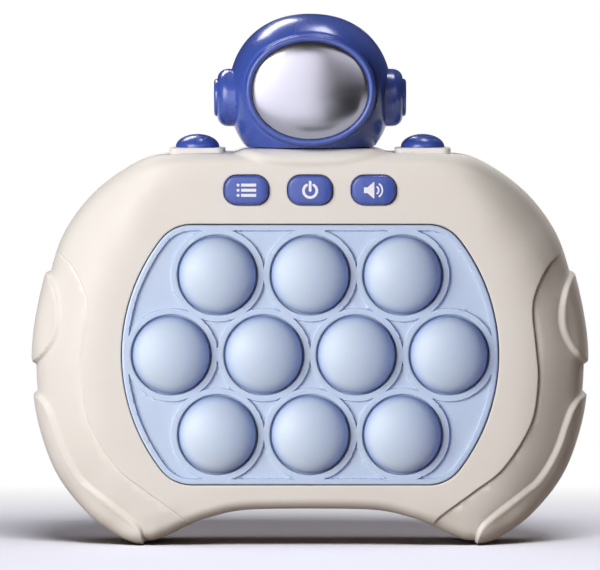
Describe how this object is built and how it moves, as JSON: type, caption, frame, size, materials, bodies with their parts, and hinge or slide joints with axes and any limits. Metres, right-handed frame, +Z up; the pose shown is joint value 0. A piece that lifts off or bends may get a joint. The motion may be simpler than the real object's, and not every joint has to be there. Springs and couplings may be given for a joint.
{
  "type": "electronic bubble pop game",
  "caption": "Hand-held game with two grips, a panel of soft round press bubbles, function and shoulder buttons, a helmet figure on top and a battery box in the back.",
  "frame": {"origin": "centre of the base that the two grips stand on, halfway through the depth", "axes": "+Z up towards the helmet, the bubbles face -Y, +X to the right of someone who looks at the bubbles"},
  "size_m": [0.155, 0.044, 0.1473],
  "materials": {
    "beige_plastic": "satin moulded plastic",
    "pale_blue_silicone": "soft satin silicone",
    "indigo_plastic": "satin gloss moulded plastic",
    "visor_mirror": "mirror-coated convex plastic",
    "board_laminate": "solder-masked laminate",
    "black_plastic": "moulded black plastic",
    "lamp_resin": "clear resin over a white body",
    "steel": "nickel-plated steel",
    "cell_sleeve": "printed sleeve, left plain"
  },
  "bodies": {
    "housing": {"front_shell": "beige_plastic", "rear_shell": "beige_plastic", "case_screw_1": "steel", "case_screw_2": "steel", "case_screw_3": "steel", "case_screw_4": "steel", "bubble_sheet": "pale_blue_silicone", "retainer_plate": "black_plastic", "main_board": "board_laminate", "led_1": "lamp_resin", "led_2": "lamp_resin", "led_3": "lamp_resin", "led_4": "lamp_resin", "led_5": "lamp_resin", "led_6": "lamp_resin", "led_7": "lamp_resin", "led_8": "lamp_resin", "led_9": "lamp_resin", "led_10": "lamp_resin", "board_screw_1": "steel", "board_screw_2": "steel", "board_screw_3": "steel", "board_screw_4": "steel", "menu_switch": "black_plastic", "power_switch": "black_plastic", "sound_switch": "black_plastic", "shoulder_switch_left": "black_plastic", "shoulder_switch_right": "black_plastic", "speaker": "black_plastic", "battery_1": "cell_sleeve", "battery_2": "cell_sleeve", "battery_3": "cell_sleeve", "contact_minus": "steel", "contact_plus": "steel", "contact_bridge_left": "steel", "contact_bridge_right": "steel", "helmet_front": "indigo_plastic", "helmet_rear": "indigo_plastic", "visor": "visor_mirror", "ear_cup_left": "indigo_plastic", "ear_cup_right": "indigo_plastic"},
    "bubble_1": {"bubble_1": "pale_blue_silicone"},
    "bubble_2": {"bubble_2": "pale_blue_silicone"},
    "bubble_3": {"bubble_3": "pale_blue_silicone"},
    "bubble_4": {"bubble_4": "pale_blue_silicone"},
    "bubble_5": {"bubble_5": "pale_blue_silicone"},
    "bubble_6": {"bubble_6": "pale_blue_silicone"},
    "bubble_7": {"bubble_7": "pale_blue_silicone"},
    "bubble_8": {"bubble_8": "pale_blue_silicone"},
    "bubble_9": {"bubble_9": "pale_blue_silicone"},
    "bubble_10": {"bubble_10": "pale_blue_silicone"},
    "menu_button": {"menu_button": "indigo_plastic"},
    "power_button": {"power_button": "indigo_plastic"},
    "sound_button": {"sound_button": "indigo_plastic"},
    "shoulder_button_left": {"shoulder_button_left": "indigo_plastic"},
    "shoulder_button_right": {"shoulder_button_right": "indigo_plastic"},
    "battery_door": {"battery_door": "beige_plastic"},
    "battery_door_screw": {"battery_door_screw": "steel"}
  },
  "joints": [
    {"name": "bubble_1_press", "type": "slide", "parent": "housing", "child": "bubble_1", "axis": [0, 1, 0], "range_m": [0, 0.0055], "stiffness_N_per_m": 400},
    {"name": "bubble_2_press", "type": "slide", "parent": "housing", "child": "bubble_2", "axis": [0, 1, 0], "range_m": [0, 0.0055], "stiffness_N_per_m": 400},
    {"name": "bubble_3_press", "type": "slide", "parent": "housing", "child": "bubble_3", "axis": [0, 1, 0], "range_m": [0, 0.0055], "stiffness_N_per_m": 400},
    {"name": "bubble_4_press", "type": "slide", "parent": "housing", "child": "bubble_4", "axis": [0, 1, 0], "range_m": [0, 0.0055], "stiffness_N_per_m": 400},
    {"name": "bubble_5_press", "type": "slide", "parent": "housing", "child": "bubble_5", "axis": [0, 1, 0], "range_m": [0, 0.0055], "stiffness_N_per_m": 400},
    {"name": "bubble_6_press", "type": "slide", "parent": "housing", "child": "bubble_6", "axis": [0, 1, 0], "range_m": [0, 0.0055], "stiffness_N_per_m": 400},
    {"name": "bubble_7_press", "type": "slide", "parent": "housing", "child": "bubble_7", "axis": [0, 1, 0], "range_m": [0, 0.0055], "stiffness_N_per_m": 400},
    {"name": "bubble_8_press", "type": "slide", "parent": "housing", "child": "bubble_8", "axis": [0, 1, 0], "range_m": [0, 0.0055], "stiffness_N_per_m": 400},
    {"name": "bubble_9_press", "type": "slide", "parent": "housing", "child": "bubble_9", "axis": [0, 1, 0], "range_m": [0, 0.0055], "stiffness_N_per_m": 400},
    {"name": "bubble_10_press", "type": "slide", "parent": "housing", "child": "bubble_10", "axis": [0, 1, 0], "range_m": [0, 0.0055], "stiffness_N_per_m": 400},
    {"name": "menu_press", "type": "slide", "parent": "housing", "child": "menu_button", "axis": [0, 1, 0], "range_m": [0, 0.0006], "stiffness_N_per_m": 800},
    {"name": "power_press", "type": "slide", "parent": "housing", "child": "power_button", "axis": [0, 1, 0], "range_m": [0, 0.0006], "stiffness_N_per_m": 800},
    {"name": "sound_press", "type": "slide", "parent": "housing", "child": "sound_button", "axis": [0, 1, 0], "range_m": [0, 0.0006], "stiffness_N_per_m": 800},
    {"name": "shoulder_left_press", "type": "slide", "parent": "housing", "child": "shoulder_button_left", "axis": [0, 0, -1], "range_m": [0, 0.0015], "stiffness_N_per_m": 600},
    {"name": "shoulder_right_press", "type": "slide", "parent": "housing", "child": "shoulder_button_right", "axis": [0, 0, -1], "range_m": [0, 0.0015], "stiffness_N_per_m": 600},
    {"name": "battery_door_lift", "type": "slide", "parent": "housing", "child": "battery_door", "axis": [0, 1, 0], "range_m": [0, 0.025]},
    {"name": "battery_door_screw_turn", "type": "hinge", "parent": "battery_door", "child": "battery_door_screw", "pos_m": [0, 0.022, 0.0696], "axis": [0, 1, 0], "continuous": true}
  ]
}
